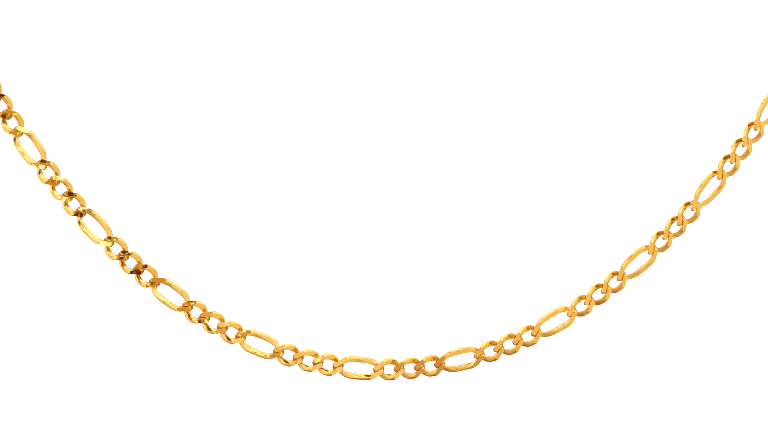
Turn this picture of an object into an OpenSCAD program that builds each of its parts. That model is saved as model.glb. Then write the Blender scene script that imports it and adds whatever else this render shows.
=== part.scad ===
// Figaro chain: three short curb links and one long one, repeated round a closed loop.
// The loop is drawn as it hangs when worn: +Z up, the front towards -Y, the origin at the
// nape. The front stretch lies in one leaning plane, and the rest goes round the neck to
// a plain ring clasp at the nape. Lengths are millimetres.

/* [Pattern] */
// Number of repeats of the pattern round the loop
repeats = 26; // [24:1:28]
// Number of short links in one repeat, before its long link
short_run = 3; // [2:1:3]

/* [Short links] */
// Distance from one short link to the next
short_pitch = 3.4; // [3.3:0.01:3.6]
// Width of a short link across the chain
short_width = 3.8; // [3.6:0.05:4.2]
// Squareness of a short link's outline, where 2 is an ellipse
short_squareness = 2.7; // [2.5:0.05:3.2]

/* [Long links] */
// Stretch of the chain that a long link takes up
long_pitch = 6.8; // [6.4:0.01:7.4]
// Width of a long link across the chain
long_width = 4; // [3.8:0.05:4.4]
// Squareness of a long link's outline
long_squareness = 3.2; // [2.8:0.05:3.6]

/* [Wire] */
// Width of the wire along the rims of a link
rim_width = 1; // [0.8:0.01:1.05]
// Height of the wire along the rims, before the link is pressed
rim_height = 0.95; // [0.8:0.01:1]
// Width of the wire at the ends of a link
end_width = 0.76; // [0.65:0.01:0.8]
// Height of the wire at the ends, before the link is pressed
end_height = 0.84; // [0.7:0.01:0.9]
// Space between the end bars of two links that interlock
link_gap = 0.13; // [0.1:0.01:0.2]

/* [Link shape] */
// Turn of each end of a link out of its plane, in degrees
end_turn = 66; // [60:1:68]
// How far that turn is gathered at the ends, where 1 is evenly along the link
turn_power = 1.3; // [1:0.05:1.5]
// Share of its thickness that a turned link keeps when it is pressed
pressed = 0.62; // [0.58:0.01:0.66]
// Thickness of a link between its two ground faces
link_thickness = 1.36; // [1.2:0.01:1.5]
// Facets round a link
link_sides = 16; // [12:4:16]

/* [Front] */
// Radius of the hanging curve at its lowest point
front_radius = 52.9; // [50:0.1:58]
// Half the width of the stretch that hangs in one plane
front_half = 65; // [60:0.1:69]
// Lean of that plane from upright, its top towards the nape, in degrees
front_lean = 20; // [10:1:28]
// Distance of the lowest point in front of the nape
front_reach = 98; // [92:0.5:106]
// Depth of the lowest point below the nape
front_drop = 86; // [80:0.5:94]

/* [Clasp] */
// Diameter of the clasp's ring, between wire centres
ring_diameter = 6; // [5.4:0.1:7]
// Diameter of the ring's wire
ring_wire = 0.9; // [0.8:0.05:1]
// Diameter of the clasp's eye, between wire centres
eye_diameter = 2; // [1.9:0.05:2.4]
// Diameter of the eye's wire
eye_wire = 0.76; // [0.6:0.02:0.8]
// Distance from the ring's wire to the eye's, between centres
neck_length = 0.9; // [0.85:0.05:1.5]
// Diameter of the neck between them
neck_diameter = 0.8; // [0.6:0.05:0.8]
// Length of the knob outside the ring
knob_length = 0.9; // [0.6:0.1:1.4]
// Diameter of the knob
knob_diameter = 0.7; // [0.5:0.05:0.8]
// Space between the clasp's wires and the links that they hold
clasp_gap = 0.16; // [0.12:0.01:0.2]
// Turn of the ring out of the chain's face, in degrees
clasp_turn = 45; // [40:1:50]

/* [Hidden] */
gold = [0.93, 0.66, 0.25];

// A link's wire has six sides. Its corners lie at these shares of its half width, at the
// ends and along the rims.
END_CORNER = 0.5;
RIM_CORNER = 0.68;

// The hidden stretch is one curve on each side. It leaves the front with the front's own
// direction and reaches the nape level, and these are its two handles.
FRONT_HANDLE = 54;
NAPE_HANDLE = 52;
FRONT_STEPS = 30;
HIDDEN_STEPS = 60;

// Outward facing of the links at the sides of the neck and at the nape
SIDE_FACING = [1, 0, 0.45];
NAPE_FACING = [0, 1, 0.35];

// Roll of the links about the chain's own line, in degrees, positive with the face turned
// down and out. The first column is the place, as a share of the front stretch's half
// length from its middle, with the wearer's right side negative.
ROLL = [[-1.7, 0], [-1, -10], [-0.7, -2], [-0.25, 2], [0.06, 14], [0.56, 25], [1, 35], [1.8, 0]];

// Angle of the knob round the clasp's ring, from the neck
KNOB_ANGLE = 130;
CIRCLE_FACETS = 48;

// Sizes that follow
pattern_links = short_run + 1;
link_count = repeats * pattern_links;
pattern_length = short_run * short_pitch + long_pitch;
ring_inset = clasp_gap + ring_wire / 2 - link_gap / 2;
eye_inset = clasp_gap + eye_wire / 2 - link_gap / 2;
clasp_length = ring_diameter + eye_diameter + neck_length - ring_inset - eye_inset;
loop_length = repeats * pattern_length + clasp_length;

function unit(v) = v / norm(v);
function across(v, axis) = unit(v - (v * axis) * axis);
function sign_pow(v, p) = sign(v) * pow(abs(v), p);
function blend(a, b, share) = a + (b - a) * share;

// The front curve, from its lowest point outwards: a hanging chain's own curve, laid in
// the leaning plane
lowest = [0, -front_reach, -front_drop];
uphill = [0, sin(front_lean), cos(front_lean)];
front_arc = front_radius * (exp(front_half / front_radius) - exp(-front_half / front_radius)) / 2;
function front_point(s) =
    let (root = sqrt(front_radius * front_radius + s * s))
    lowest + [front_radius * ln((s + root) / front_radius), 0, 0] + (root - front_radius) * uphill;
front_end = front_point(front_arc);
front_way = unit([front_radius, 0, 0] + front_arc * uphill);

// The hidden curve, from the front's end to the nape
handle_a = front_end + FRONT_HANDLE * front_way;
handle_b = [NAPE_HANDLE, 0, 0];
function hidden_point(t) =
    pow(1 - t, 3) * front_end + 3 * pow(1 - t, 2) * t * handle_a + 3 * (1 - t) * t * t * handle_b;

// Half the loop as a line of short steps, with the distance along it, drawn to fit the
// length of the chain
drawn = concat(
    [for (i = [0 : FRONT_STEPS]) front_point(front_arc * i / FRONT_STEPS)],
    [for (i = [1 : HIDDEN_STEPS]) hidden_point(i / HIDDEN_STEPS)]
);
travel = [for (i = 0, d = 0; i < len(drawn);
    d = d + (i + 1 < len(drawn) ? norm(drawn[i + 1] - drawn[i]) : 0), i = i + 1) d];
fit = loop_length / 2 / travel[len(travel) - 1];
function column(axis) = [for (i = [0 : len(drawn) - 1]) [travel[i] * fit, drawn[i][axis] * fit]];
route_x = column(0);
route_y = column(1);
route_z = column(2);

// A place on the loop, by its distance from the middle of the front
function place(s) = [
    sign(s) * lookup(abs(s), route_x),
    lookup(abs(s), route_y),
    lookup(abs(s), route_z)
];

// The way that the chain faces there, before and after its roll
function outward(s) =
    let (share = (abs(s) / fit - front_arc) / (travel[len(travel) - 1] - front_arc))
    let (t = max(0, share))
    let (front = [0, -cos(front_lean), sin(front_lean)])
    let (side = unit([sign(s) * SIDE_FACING[0], SIDE_FACING[1], SIDE_FACING[2]]))
    pow(1 - t, 2) * front + 2 * (1 - t) * t * side + t * t * unit(NAPE_FACING);
function facing(s, way) =
    let (n = across(outward(s), way), up = cross(n, way), roll = lookup(s / fit / front_arc, ROLL))
    cos(roll) * n - sin(roll) * up;

// Where each link begins, as a distance from the middle of the front
function is_long(k) = k % pattern_links == short_run;
function pitch(k) = is_long(k) ? long_pitch : short_pitch;
function link_start(k) =
    floor(k / pattern_links) * pattern_length + (k % pattern_links) * short_pitch
    - repeats * pattern_length / 2;

// Puts its children at a point, with X along one direction and Z along another square to it
module in_frame(way, out, point) {
    up = cross(out, way);
    multmatrix([
        [way[0], up[0], out[0], point[0]],
        [way[1], up[1], out[1], point[1]],
        [way[2], up[2], out[2], point[2]]
    ]) children();
}

// The corners of a link's wire at one angle round the link
function wire_corners(share) =
    let (w = blend(end_width, rim_width, share) / 2)
    let (h = blend(end_height, rim_height, share) / 2)
    let (c = w * blend(END_CORNER, RIM_CORNER, share))
    [[w, 0], [c, h], [-c, h], [-w, 0], [-c, -h], [c, -h]];

// A link's corners: its outline is a squared ellipse, which is then turned more and more
// out of its plane towards both ends, pressed, and ground flat on both faces
function link_points(link_pitch, width, squareness) =
    let (p = 2 / squareness)
    let (reach = pow(cos(180 / link_sides), p))
    let (long_half = (link_pitch + end_width + link_gap) / 2)
    let (wide_half = (width - rim_width) / 2)
    [for (i = [0 : link_sides - 1])
        let (angle = 360 * (i + 0.5) / link_sides)
        let (x = long_half * sign_pow(cos(angle), p) / reach)
        let (y = wide_half * sign_pow(sin(angle), p) / reach)
        let (normal = unit([
            sign_pow(x / long_half, squareness - 1) / long_half,
            sign_pow(y / wide_half, squareness - 1) / wide_half
        ]))
        for (corner = wire_corners(pow(sin(angle), 2)))
            let (px = x + corner[0] * normal[0], py = y + corner[0] * normal[1])
            let (turn = -end_turn * sign_pow(px / long_half, turn_power))
            let (pz = pressed * (py * sin(turn) + corner[1] * cos(turn)))
            [px, py * cos(turn) - corner[1] * sin(turn),
                max(-link_thickness / 2, min(link_thickness / 2, pz))]
    ];

module link(link_pitch, width, squareness) {
    points = link_points(link_pitch, width, squareness);
    wire_sides = len(wire_corners(0));
    faces = [for (i = [0 : link_sides - 1], j = [0 : wire_sides - 1])
        let (next_i = (i + 1) % link_sides, next_j = (j + 1) % wire_sides)
        let (a = i * wire_sides + j, b = i * wire_sides + next_j)
        let (c = next_i * wire_sides + next_j, d = next_i * wire_sides + j)
        each [[a, b, c], [a, c, d]]];
    color(gold) polyhedron(points, faces);
}

// A row of the chain's links, each along the line between its stretch's two ends
module links(first, last) {
    for (k = [first : last]) {
        start = link_start(k);
        end = start + pitch(k);
        way = unit(place(end) - place(start));
        in_frame(way, facing((start + end) / 2, way), (place(start) + place(end)) / 2)
            if (is_long(k)) link(long_pitch, long_width, long_squareness);
            else link(short_pitch, short_width, short_squareness);
    }
}

// The two halves meet at the middle of the front
module chain_left() {
    links(0, ceil(link_count / 2) - 1);
}

module chain_right() {
    links(ceil(link_count / 2), link_count - 1);
}

module torus(diameter, wire) {
    rotate_extrude($fn = CIRCLE_FACETS)
        translate([diameter / 2, 0]) circle(d = wire, $fn = CIRCLE_FACETS);
}

// One plain piece between the chain's last link and its first, at the nape: a ring, which
// holds the last link, a neck, and an eye turned the other way, which holds the first. The
// knob stands out from the ring, as on a spring ring.
module clasp() {
    chain_end = repeats * pattern_length / 2;
    way = unit(place(-chain_end) - place(chain_end));
    ring_x = ring_diameter / 2 - clasp_length / 2 - ring_inset;
    eye_x = clasp_length / 2 + eye_inset - eye_diameter / 2;
    in_frame(way, across(NAPE_FACING, way), (place(chain_end) + place(-chain_end)) / 2)
        color(gold) union() {
            translate([ring_x, 0, 0]) rotate([clasp_turn, 0, 0]) {
                torus(ring_diameter, ring_wire);
                rotate([0, 0, KNOB_ANGLE]) translate([ring_diameter / 2, 0, 0]) rotate([0, 90, 0])
                    cylinder(h = ring_wire / 2 + knob_length, d = knob_diameter, $fn = CIRCLE_FACETS);
            }
            translate([ring_x + ring_diameter / 2, 0, 0]) rotate([0, 90, 0])
                cylinder(h = neck_length, d = neck_diameter, $fn = CIRCLE_FACETS);
            translate([eye_x, 0, 0]) rotate([-clasp_turn, 0, 0]) torus(eye_diameter, eye_wire);
        }
}

chain_left();
chain_right();
clasp();
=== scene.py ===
"""A figaro neck chain in polished yellow gold, draped as it is worn, against plain white."""

import bpy
import bmesh
import math
import random
from mathutils import Matrix, Vector


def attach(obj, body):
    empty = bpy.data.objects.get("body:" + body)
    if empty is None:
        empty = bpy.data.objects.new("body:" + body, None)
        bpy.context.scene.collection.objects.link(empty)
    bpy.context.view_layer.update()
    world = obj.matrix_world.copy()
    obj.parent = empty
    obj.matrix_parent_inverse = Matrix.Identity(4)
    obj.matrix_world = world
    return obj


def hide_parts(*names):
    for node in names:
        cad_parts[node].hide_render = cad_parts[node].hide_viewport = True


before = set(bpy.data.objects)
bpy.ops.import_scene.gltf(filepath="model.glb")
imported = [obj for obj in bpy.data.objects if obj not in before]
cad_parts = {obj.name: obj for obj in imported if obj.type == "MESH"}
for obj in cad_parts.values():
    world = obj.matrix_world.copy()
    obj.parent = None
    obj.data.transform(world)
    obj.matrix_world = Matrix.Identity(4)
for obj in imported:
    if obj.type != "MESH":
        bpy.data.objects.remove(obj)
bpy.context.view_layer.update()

# Sizes are in millimetres and angles in degrees. The meshes are brought to metres as they are placed.
MM = 0.001

# The pattern, with the same values as the solids
REPEATS = 26
SHORT_RUN = 3
SHORT_PITCH = 3.4
LONG_PITCH = 6.8
SHORT_WIDTH = 3.8
LONG_WIDTH = 4.0
PATTERN_LINKS = SHORT_RUN + 1
LINK_COUNT = REPEATS * PATTERN_LINKS
PATTERN_LENGTH = SHORT_RUN * SHORT_PITCH + LONG_PITCH
HALF_CHAIN = REPEATS * PATTERN_LENGTH / 2

# The wire: its section has upright walls, chamfers, and flats that slope a little inwards
RIM_WIDTH = 1.1
END_WIDTH = 0.96
WIRE_HEIGHT = 0.95
WALL = 0.34
CHAMFER = 0.32
DISH = 0.1
WIRE_ROUND = 0.07
WIRE_CREASE = 25

# The outline of a link. A negative gap lets neighbours just touch.
LINK_GAP = -0.02
SHORT_SQUARENESS = 3.3
LONG_SQUARENESS = 3.2
SHORT_STEPS = 13
LONG_STEPS = 15

# The twist of a link's ends, which falls off within its reach, and the flats that are ground on it
END_TURN = 69
END_MARGIN = 0.1
SHORT_FALLOFF = "LINEAR"
LONG_FALLOFF = "SHARP"
SHORT_REACH = 1.0
LONG_REACH = 1.1
PRESSED = 0.62
LINK_THICKNESS = 1.36
FLAT_ROUND = 0.12
FLAT_CREASE = 32

# How far a link may sway about the chain's line and across it
SWAY_SEED = 7
SWAY_ALONG = 5
SWAY_ACROSS = 1.5

# How near two points are when they are merged, on a new and on a finished shape, and how exact a cut is
MERGE_NEW = 0.001
MERGE_DONE = 0.004
CUT_EXACT = 0.0001

# The clasp
RING_DIAMETER = 6.0
RING_WIRE = 0.9
EYE_DIAMETER = 2.0
EYE_WIRE = 0.76
NECK_LENGTH = 0.9
NECK_DIAMETER = 0.8
KNOB_LENGTH = 0.9
KNOB_DIAMETER = 0.7
KNOB_ROUND = 0.12
KNOB_ANGLE = 130
CLASP_TURN = 45
CLASP_SLACK = 0.16
LINK_SLACK = 0.13
RING_STEPS = (96, 24)
EYE_STEPS = (64, 20)
ROD_STEPS = 32
CLASP_CREASE = 40
RING_INSET = CLASP_SLACK + RING_WIRE / 2 - LINK_SLACK / 2
EYE_INSET = CLASP_SLACK + EYE_WIRE / 2 - LINK_SLACK / 2
CLASP_LENGTH = RING_DIAMETER + EYE_DIAMETER + NECK_LENGTH - RING_INSET - EYE_INSET

# The route of the chain
FRONT_RADIUS = 52.9
FRONT_HALF = 65.0
FRONT_LEAN = 20
FRONT_REACH = 98.0
FRONT_DROP = 86.0
FRONT_HANDLE = 54.0
NAPE_HANDLE = 52.0
FRONT_STEPS = 30
HIDDEN_STEPS = 60
SIDE_FACING = (1.0, 0.0, 0.45)
NAPE_FACING = Vector((0.0, 1.0, 0.35))

# The roll of the chain about its line, by the place on the front as a share of the front's half
ROLL = ((-1.7, 0), (-1, -10), (-0.7, -2), (-0.25, 2), (0.06, 14), (0.56, 25), (1, 35), (1.8, 0))

LOWEST = Vector((0, -FRONT_REACH, -FRONT_DROP))
LEAN_SINE = math.sin(math.radians(FRONT_LEAN))
LEAN_COSINE = math.cos(math.radians(FRONT_LEAN))
UPHILL = Vector((0, LEAN_SINE, LEAN_COSINE))
FRONT_FACING = Vector((0, -LEAN_COSINE, LEAN_SINE))
FRONT_ARC = FRONT_RADIUS * math.sinh(FRONT_HALF / FRONT_RADIUS)
LOOP_LENGTH = REPEATS * PATTERN_LENGTH + CLASP_LENGTH

# The metal: its tones and marks, with scales to the metre and heights in metres
GOLD_YELLOW = (0.84, 0.57, 0.145, 1)
GOLD_ORANGE = (0.84, 0.51, 0.10, 1)
GOLD_EDGE = (1.0, 0.88, 0.6, 1)
TONE_SCALE = 260.0
TONE_SPAN = (0.35, 0.65)
WIPE_SCALE = 2600.0
WIPE_HEIGHT = 0.0000015
WAVE_SCALE = 650.0
WAVE_HEIGHT = 0.00005
POLISH = 0.03
POLISH_SPREAD = 0.05

# The floor, in metres
FLOOR_SIZE = 8
FLOOR_LEVEL = -0.6
PAPER_TONE = (0.9, 0.9, 0.9, 1)
PAPER_ROUGHNESS = 0.9

# The room that the metal mirrors: dim below and pale above, with an uneven edge between. The camera sees
# plain white in its place, which the strength brings to full.
LIGHT_STRENGTH = 1.2
PLAIN_WHITE = (0.835, 0.835, 0.835, 1)
ROOM_LOW = (0.38, 0.18, 0.02, 1)
ROOM_HIGH = (1.28, 1.30, 1.60, 1)
ROOM_SPAN = (-0.9, 0.6)
ROOM_SCALE = 4.5
ROOM_UNEVEN = 1.2
PANE_DIM = (0.60, 0.36, 0.08, 1)
PANE_BRIGHT = (1.9, 1.9, 2.4, 1)
PANE_SCALE = 9.0
PANE_SPAN = (0.45, 0.53)

# The camera
PHOTO_WIDTH = 127.95
CAMERA_ROLL = 0.87
CAMERA_DISTANCE = 1600.0
AIM_SIDE = 0.50
AIM_UP = 25.6
SENSOR_WIDTH = 36
NEAREST = 10.0


def front_point(s):
    """A point of the hanging front curve, by its distance from the lowest point."""
    root = math.hypot(FRONT_RADIUS, s)
    sideways = FRONT_RADIUS * math.log((s + root) / FRONT_RADIUS)
    return LOWEST + Vector((sideways, 0, 0)) + (root - FRONT_RADIUS) * UPHILL


def hidden_point(t):
    """A point of the curve that goes on from the front's end to the nape, which is the origin."""
    a = front_point(FRONT_ARC)
    b = a + FRONT_HANDLE * (Vector((FRONT_RADIUS, 0, 0)) + FRONT_ARC * UPHILL).normalized()
    c = Vector((NAPE_HANDLE, 0, 0))
    return (1 - t) ** 3 * a + 3 * (1 - t) ** 2 * t * b + 3 * (1 - t) * t * t * c


# The right half of the loop as points, how far along it each of them is, and the scale that gives the
# loop its whole length
DRAWN = [front_point(FRONT_ARC * i / FRONT_STEPS) for i in range(FRONT_STEPS + 1)]
DRAWN += [hidden_point(i / HIDDEN_STEPS) for i in range(1, HIDDEN_STEPS + 1)]
TRAVEL = [0.0]
for before, after in zip(DRAWN, DRAWN[1:]):
    TRAVEL.append(TRAVEL[-1] + (after - before).length)
ROUTE = [list(zip(TRAVEL, [point[axis] for point in DRAWN])) for axis in range(3)]
FIT = LOOP_LENGTH / 2 / TRAVEL[-1]


def lookup(x, pairs):
    """The value at x on a line through pairs of numbers."""
    if x <= pairs[0][0]:
        return pairs[0][1]
    for (x0, y0), (x1, y1) in zip(pairs, pairs[1:]):
        if x <= x1:
            return y0 + (y1 - y0) * (x - x0) / (x1 - x0)
    return pairs[-1][1]


def place(s):
    """A place on the loop, by its distance from the middle of the front."""
    point = Vector([lookup(abs(s) / FIT, pairs) for pairs in ROUTE])
    point.x = math.copysign(point.x, s)
    return point * FIT


def across(v, axis):
    """What is left of v square to axis, one long."""
    return (v - v.dot(axis) * axis).normalized()


def outward(s):
    """The way that the chain faces at a place, before its roll."""
    t = max(0.0, (abs(s) / FIT - FRONT_ARC) / (TRAVEL[-1] - FRONT_ARC))
    side = Vector((math.copysign(SIDE_FACING[0], s), SIDE_FACING[1], SIDE_FACING[2])).normalized()
    return (1 - t) ** 2 * FRONT_FACING + 2 * (1 - t) * t * side + t * t * NAPE_FACING.normalized()


def facing(s, way):
    """The way that a link faces there, with its roll about the chain's line."""
    flat = across(outward(s), way)
    roll = math.radians(lookup(s / FIT / FRONT_ARC, ROLL))
    return math.cos(roll) * flat - math.sin(roll) * flat.cross(way)


def frame_at(way, out, point):
    """A matrix with X along way, Z along out and its origin at a point in millimetres, into metres."""
    up = out.cross(way)
    turn = Matrix((way, up, out)).transposed().to_4x4()
    return Matrix.Scale(MM, 4) @ Matrix.Translation(point) @ turn


def turned(axis, angle):
    """A matrix that turns by an angle about an axis."""
    return Matrix.Rotation(math.radians(angle), 4, axis)


def moved(x):
    """A matrix that moves along X."""
    return Matrix.Translation((x, 0, 0))


def is_long(k):
    """Whether the link of that number is a long one."""
    return k % PATTERN_LINKS == SHORT_RUN


def link_start(k):
    """Where a link begins, as a distance from the middle of the front."""
    return k // PATTERN_LINKS * PATTERN_LENGTH + k % PATTERN_LINKS * SHORT_PITCH - HALF_CHAIN


# Modelling


def make_active(piece):
    """Selects one object alone and makes it the active one."""
    bpy.ops.object.select_all(action="DESELECT")
    piece.select_set(True)
    bpy.context.view_layer.objects.active = piece


def open_edit(piece):
    """Opens one object in edit mode with nothing selected."""
    make_active(piece)
    bpy.ops.object.mode_set(mode="EDIT")
    bpy.ops.mesh.select_mode(type="FACE")
    bpy.ops.mesh.select_all(action="DESELECT")


def open_whole(piece):
    """Opens one object in edit mode with all of it selected."""
    open_edit(piece)
    bpy.ops.mesh.select_all(action="SELECT")


def close_edit():
    """Goes back to object mode."""
    bpy.ops.object.mode_set(mode="OBJECT")


def select_vertices(piece, wanted):
    """Selects the vertices of the piece in edit mode that are wanted."""
    bpy.ops.mesh.select_mode(type="VERT")
    shape = bmesh.from_edit_mesh(piece.data)
    for vertex in shape.verts:
        vertex.select = wanted(vertex)
    shape.select_flush_mode()
    bmesh.update_edit_mesh(piece.data)


def name_piece(piece, name):
    """Gives an object and its mesh one name."""
    piece.name = name
    piece.data.name = name
    return piece


def new_piece(name):
    """Names the object that was just added or joined, and its mesh."""
    return name_piece(bpy.context.active_object, name)


def finish_modifier(piece, kind, **settings):
    """Adds a modifier to a piece and applies it."""
    make_active(piece)
    modifier = piece.modifiers.new(kind.title(), kind)
    for key, value in settings.items():
        setattr(modifier, key, value)
    bpy.ops.object.modifier_apply(modifier=modifier.name)


def round_edges(piece, crease, width, segments):
    """Rounds the edges of a piece that are sharper than a crease."""
    limit = math.radians(crease)
    finish_modifier(piece, "BEVEL", limit_method="ANGLE", angle_limit=limit, width=width, segments=segments)


def tidy_mesh(piece):
    """Merges points that lie on each other, drops faces with no area and turns all faces outward."""
    open_whole(piece)
    bpy.ops.mesh.remove_doubles(threshold=MERGE_DONE)
    bpy.ops.mesh.dissolve_degenerate(threshold=MERGE_DONE)
    bpy.ops.mesh.normals_make_consistent(inside=False)
    close_edit()


def model_wire(name, length, width, squareness, steps):
    """A squared oval ring of chamfered wire along X, narrower at its ends than along its rims."""
    # The outline is drawn longer than it is, and pressed back once the wire has its rims' width all round.
    press = RIM_WIDTH / END_WIDTH
    round_corner = 0.5 ** (2 / squareness)
    slope = (WIRE_HEIGHT - WALL) / 2
    bpy.ops.mesh.primitive_plane_add(size=2, location=(0, 0, 0))
    link = new_piece(name)
    open_whole(link)
    bpy.ops.transform.resize(value=(length / 2 * press, width / 2, 1))
    bpy.ops.mesh.bevel(
        affect="VERTICES", offset_type="PERCENT", offset_pct=50, segments=steps, profile=round_corner
    )
    bpy.ops.mesh.select_all(action="SELECT")
    bpy.ops.mesh.remove_doubles(threshold=MERGE_NEW)
    # The upper half of the section is inset from the outer wall to the inner one, and then mirrored.
    bpy.ops.transform.translate(value=(0, 0, WALL / 2))
    bpy.ops.mesh.inset(thickness=CHAMFER, depth=slope)
    bpy.ops.mesh.inset(thickness=RIM_WIDTH - 2 * CHAMFER, depth=-DISH)
    bpy.ops.mesh.inset(thickness=CHAMFER, depth=DISH - slope)
    bpy.ops.mesh.delete(type="FACE")
    bpy.ops.mesh.select_mode(type="EDGE")
    bpy.ops.mesh.select_non_manifold(extend=False)
    bpy.ops.mesh.extrude_region_move(TRANSFORM_OT_translate={"value": (0, 0, -WALL / 2)})
    bpy.ops.mesh.select_all(action="SELECT")
    bpy.ops.transform.resize(value=(1 / press, 1, 1))
    close_edit()
    finish_modifier(link, "MIRROR", use_axis=(False, False, True), merge_threshold=MERGE_NEW)
    round_edges(link, WIRE_CREASE, WIRE_ROUND, 1)
    return link


def twist_ends(link, bar, falloff, reach):
    """Turns what lies past the bar at each end of a link, and the rest less and less towards the middle."""
    for end in (1, -1):
        open_edit(link)
        select_vertices(link, lambda v: end * v.co.x > bar)
        bpy.ops.transform.rotate(
            value=end * math.radians(END_TURN),
            orient_axis="X",
            center_override=(0, 0, 0),
            use_proportional_edit=True,
            proportional_edit_falloff=falloff,
            proportional_size=reach * bar,
        )
        close_edit()


def grind_flat(link):
    """Presses a link and cuts off what stands past its thickness, in front and behind."""
    open_whole(link)
    bpy.ops.transform.resize(value=(1, 1, PRESSED))
    close_edit()
    for side in (1, -1):
        open_whole(link)
        bpy.ops.mesh.bisect(
            plane_co=(0, 0, side * LINK_THICKNESS / 2),
            plane_no=(0, 0, side),
            use_fill=True,
            clear_outer=True,
            threshold=CUT_EXACT,
        )
        close_edit()
    round_edges(link, FLAT_CREASE, FLAT_ROUND, 2)


def model_link(name, pitch, width, squareness, steps, falloff, reach):
    """One link in millimetres, along X and facing Z."""
    half_length = (pitch + END_WIDTH + LINK_GAP) / 2
    link = model_wire(name, 2 * half_length + END_WIDTH, width, squareness, steps)
    twist_ends(link, half_length - END_WIDTH / 2 + END_MARGIN, falloff, reach)
    grind_flat(link)
    tidy_mesh(link)
    bpy.ops.object.shade_smooth_by_angle(angle=math.radians(FLAT_CREASE))
    finish_modifier(link, "WEIGHTED_NORMAL", keep_sharp=True)
    return link


def join_pieces(name, pieces):
    """Joins pieces into one."""
    make_active(pieces[0])
    for piece in pieces[1:]:
        piece.select_set(True)
    bpy.ops.object.join()
    return new_piece(name)


def unite_pieces(name, pieces):
    """Makes one body of pieces that run into each other."""
    body = pieces[0]
    for piece in pieces[1:]:
        finish_modifier(body, "BOOLEAN", operation="UNION", solver="EXACT", object=piece)
        bpy.data.objects.remove(piece)
    tidy_mesh(body)
    return name_piece(body, name)


def lay_links(name, first, last, models):
    """A row of the chain's links, copied from the two modelled ones and laid along the route."""
    chance = random.Random(first + SWAY_SEED)
    links = []
    for k in range(first, last + 1):
        start = link_start(k)
        end = start + (LONG_PITCH if is_long(k) else SHORT_PITCH)
        a = place(start)
        b = place(end)
        way = (b - a).normalized()
        sway = turned("X", chance.uniform(-SWAY_ALONG, SWAY_ALONG))
        sway = sway @ turned("Y", chance.uniform(-SWAY_ACROSS, SWAY_ACROSS))
        link = models[is_long(k)].copy()
        link.data = models[is_long(k)].data.copy()
        bpy.context.collection.objects.link(link)
        link.data.transform(frame_at(way, facing((start + end) / 2, way), (a + b) / 2) @ sway)
        links.append(link)
    return join_pieces(name, links)


def model_ring(name, diameter, wire, steps, place_at):
    """A ring of round wire, by the diameter of its wire's middle line."""
    bpy.ops.mesh.primitive_torus_add(
        major_radius=diameter / 2, minor_radius=wire / 2, major_segments=steps[0], minor_segments=steps[1]
    )
    ring = new_piece(name)
    ring.data.transform(place_at)
    return ring


def model_rod(name, diameter, length, place_at, end_round=0):
    """A round rod along X, with its ends rounded where that is asked for."""
    bpy.ops.mesh.primitive_cylinder_add(vertices=ROD_STEPS, radius=diameter / 2, depth=length)
    rod = new_piece(name)
    if end_round:
        finish_modifier(rod, "BEVEL", limit_method="ANGLE", width=end_round, segments=3)
    rod.data.transform(place_at @ turned("Y", 90))
    return rod


def model_clasp():
    """The clasp: a ring, a neck, an eye turned the other way and a knob, all of one piece."""
    end = place(HALF_CHAIN)
    start = place(-HALF_CHAIN)
    way = (start - end).normalized()
    ring_x = RING_DIAMETER / 2 - CLASP_LENGTH / 2 - RING_INSET
    eye_x = CLASP_LENGTH / 2 + EYE_INSET - EYE_DIAMETER / 2
    neck_x = ring_x + RING_DIAMETER / 2 + NECK_LENGTH / 2
    ring_turn = moved(ring_x) @ turned("X", CLASP_TURN)
    eye_turn = moved(eye_x) @ turned("X", -CLASP_TURN)
    knob_depth = RING_WIRE / 2 + KNOB_LENGTH
    knob_turn = ring_turn @ turned("Z", KNOB_ANGLE) @ moved(RING_DIAMETER / 2 + knob_depth / 2)
    ring = model_ring("ring", RING_DIAMETER, RING_WIRE, RING_STEPS, ring_turn)
    eye = model_ring("eye", EYE_DIAMETER, EYE_WIRE, EYE_STEPS, eye_turn)
    knob = model_rod("knob", KNOB_DIAMETER, knob_depth, knob_turn, end_round=KNOB_ROUND)
    neck = model_rod("neck", NECK_DIAMETER, NECK_LENGTH, moved(neck_x))
    clasp = unite_pieces("clasp_gold", [ring, eye, knob, neck])
    clasp.data.transform(frame_at(way, across(NAPE_FACING, way), (start + end) / 2))
    bpy.ops.object.shade_smooth_by_angle(angle=math.radians(CLASP_CREASE))
    return clasp


# Materials


class Field:
    """A shader value that takes part in plain arithmetic."""

    def __init__(self, tree, socket):
        self.tree = tree
        self.socket = socket

    def math(self, operation, *others):
        """The result of one Math node on this value and others."""
        inputs = dict(enumerate((self,) + others))
        return add_node(self.tree, "ShaderNodeMath", {"operation": operation}, inputs)

    def __add__(self, other):
        return self.math("ADD", other)

    __radd__ = __add__

    def __mul__(self, other):
        return self.math("MULTIPLY", other)

    __rmul__ = __mul__

    def __sub__(self, other):
        return self.math("SUBTRACT", other)

    def __rsub__(self, other):
        return self.math("MULTIPLY_ADD", -1, other)


def add_node(tree, kind, settings=None, inputs=None, output=0):
    """Adds a node with its settings and inputs, and gives one output."""
    node = tree.nodes.new(kind)
    for key, value in (settings or {}).items():
        setattr(node, key, value)
    for key, value in (inputs or {}).items():
        if isinstance(value, Field):
            tree.links.new(value.socket, node.inputs[key])
        else:
            node.inputs[key].default_value = value
    return Field(tree, node.outputs[output])


def noise(tree, spot, scale, detail):
    """Soft noise of a scale."""
    return add_node(tree, "ShaderNodeTexNoise", None, {"Vector": spot, "Scale": scale, "Detail": detail})


def share_between(tree, value, low, high, shape="LINEAR"):
    """How far a value has come from low to high, from 0 to 1."""
    span = {"Value": value, "From Min": low, "From Max": high}
    return add_node(tree, "ShaderNodeMapRange", {"interpolation_type": shape}, span)


def mix_colours(tree, share, a, b):
    """The colour at a share of the way from a to b."""
    inputs = {"Factor": share, "A": a, "B": b}
    return add_node(tree, "ShaderNodeMix", {"data_type": "RGBA"}, inputs, output=2)


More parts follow.
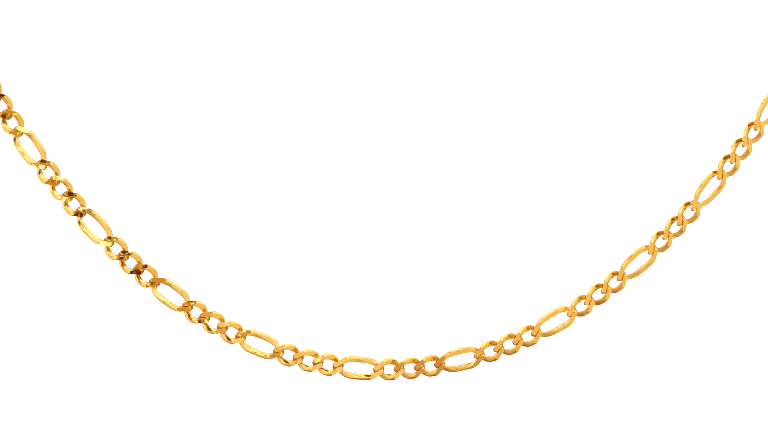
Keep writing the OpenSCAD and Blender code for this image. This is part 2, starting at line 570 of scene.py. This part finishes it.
def towards(tree, look, heading):
    """How squarely a look goes towards a heading."""
    inputs = {0: look, 1: Vector(heading).normalized()}
    return add_node(tree, "ShaderNodeVectorMath", {"operation": "DOT_PRODUCT"}, inputs, output="Value")


def new_material(name):
    """A new material, with its node tree and its shader."""
    material = bpy.data.materials.new(name)
    material.use_nodes = True
    return material, material.node_tree, material.node_tree.nodes["Principled BSDF"]


def polished_gold():
    """Polished yellow gold, a little uneven in tone, with fine wipe marks and a faint wave in its faces."""
    material, tree, shader = new_material("polished_gold")
    spot = add_node(tree, "ShaderNodeTexCoord", output="Object")
    tone = share_between(tree, noise(tree, spot, TONE_SCALE, 2.0), *TONE_SPAN)
    colour = mix_colours(tree, tone, GOLD_YELLOW, GOLD_ORANGE)
    wipe = noise(tree, spot, WIPE_SCALE, 3.0)
    wave = noise(tree, spot, WAVE_SCALE, 1.0)
    height = wave * WAVE_HEIGHT + wipe * WIPE_HEIGHT
    bump = add_node(tree, "ShaderNodeBump", None, {"Height": height, "Distance": 1.0, "Strength": 1.0})
    tree.links.new(colour.socket, shader.inputs["Base Color"])
    tree.links.new((POLISH + wipe * POLISH_SPREAD).socket, shader.inputs["Roughness"])
    tree.links.new(bump.socket, shader.inputs["Normal"])
    shader.inputs["Metallic"].default_value = 1.0
    shader.inputs["Specular Tint"].default_value = GOLD_EDGE
    return material


def white_paper():
    """The plain white floor."""
    material, tree, shader = new_material("white_paper")
    shader.inputs["Base Color"].default_value = PAPER_TONE
    shader.inputs["Roughness"].default_value = PAPER_ROUGHNESS
    shader.inputs["Emission Color"].default_value = (1, 1, 1, 1)
    shader.inputs["Emission Strength"].default_value = 1.0
    return material


def cover(piece, material):
    """Gives a piece one material all over."""
    piece.data.materials.clear()
    piece.data.materials.append(material)


# The chain

bpy.ops.object.select_all(action="DESELECT")
short_model = model_link(
    "short_link", SHORT_PITCH, SHORT_WIDTH, SHORT_SQUARENESS, SHORT_STEPS, SHORT_FALLOFF, SHORT_REACH
)
long_model = model_link(
    "long_link", LONG_PITCH, LONG_WIDTH, LONG_SQUARENESS, LONG_STEPS, LONG_FALLOFF, LONG_REACH
)
models = {False: short_model, True: long_model}
middle = math.ceil(LINK_COUNT / 2)
left = lay_links("links_left", 0, middle - 1, models)
right = lay_links("links_right", middle, LINK_COUNT - 1, models)
clasp = model_clasp()
for model in (short_model, long_model):
    bpy.data.objects.remove(model)

gold = polished_gold()
for piece, node in ((left, "chain_left"), (right, "chain_right"), (clasp, "clasp")):
    cover(piece, gold)
    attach(piece, "root")
    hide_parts(node)

# The studio: a white floor, and a pale room whose walls are brighter and darker in places

bpy.ops.mesh.primitive_plane_add(size=FLOOR_SIZE, location=(0, 0, FLOOR_LEVEL))
floor = new_piece("floor")
cover(floor, white_paper())
floor.visible_glossy = False

world = bpy.data.worlds.new("white_room")
bpy.context.scene.world = world
world.use_nodes = True
room = world.node_tree
look = add_node(room, "ShaderNodeTexCoord", output="Generated")
uneven = ROOM_UNEVEN * (noise(room, look, ROOM_SCALE, 1.0) - 0.5)
height = share_between(room, towards(room, look, (0, 0, 1)) + uneven, *ROOM_SPAN)
light = mix_colours(room, height, ROOM_LOW, ROOM_HIGH)
pane = share_between(room, noise(room, look, PANE_SCALE, 1.0), *PANE_SPAN)
windows = mix_colours(room, pane, PANE_DIM, PANE_BRIGHT)

# Each patch of the room: its heading, the angles from it within which it is full and past which it is
# gone, and its colour. They are a pale side wall, the windows, a dark gap in front, a dark gap at the left,
# and the back wall with a bright part.
PATCHES = (
    ((0.75, -0.35, -0.5), 25, 60, (0.90, 0.79, 0.66, 1)),
    ((0.1, -0.80, 0.6), 14, 32, windows),
    ((0.1, -0.9, 0.43), 2.2, 3.8, (0.10, 0.02, 0.002, 1)),
    ((-0.55, -0.5, 0.68), 8, 18, (0.20, 0.08, 0.012, 1)),
    ((0, 1, 0), 45, 80, (0.34, 0.20, 0.05, 1)),
    ((0, 1, 0.2), 15, 40, (1.00, 0.92, 0.78, 1)),
)
for heading, full, gone, colour in PATCHES:
    square = towards(room, look, heading)
    edge = (math.cos(math.radians(gone)), math.cos(math.radians(full)))
    light = mix_colours(room, share_between(room, square, *edge, shape="SMOOTHSTEP"), light, colour)
seen = add_node(room, "ShaderNodeLightPath", output="Is Camera Ray")
light = mix_colours(room, seen, light, PLAIN_WHITE)
room.links.new(light.socket, room.nodes["Background"].inputs["Color"])
room.nodes["Background"].inputs["Strength"].default_value = LIGHT_STRENGTH

# The camera looks square at the plane in which the front hangs, and is rolled a little, as the photo's was.

aim = LOWEST * FIT + Vector((AIM_SIDE, 0, 0)) + AIM_UP * UPHILL
lens = bpy.data.cameras.new("camera")
lens.sensor_width = SENSOR_WIDTH
lens.lens = SENSOR_WIDTH * CAMERA_DISTANCE / PHOTO_WIDTH
lens.clip_start = NEAREST * MM
camera = bpy.data.objects.new("camera", lens)
bpy.context.collection.objects.link(camera)
tilt = turned("X", 90 - FRONT_LEAN) @ turned("Z", CAMERA_ROLL)
camera.matrix_world = Matrix.Translation((aim + CAMERA_DISTANCE * FRONT_FACING) * MM) @ tilt
bpy.context.scene.camera = camera
bpy.context.scene.view_settings.view_transform = "Standard"
bpy.context.scene.cycles.filter_width = 1.0
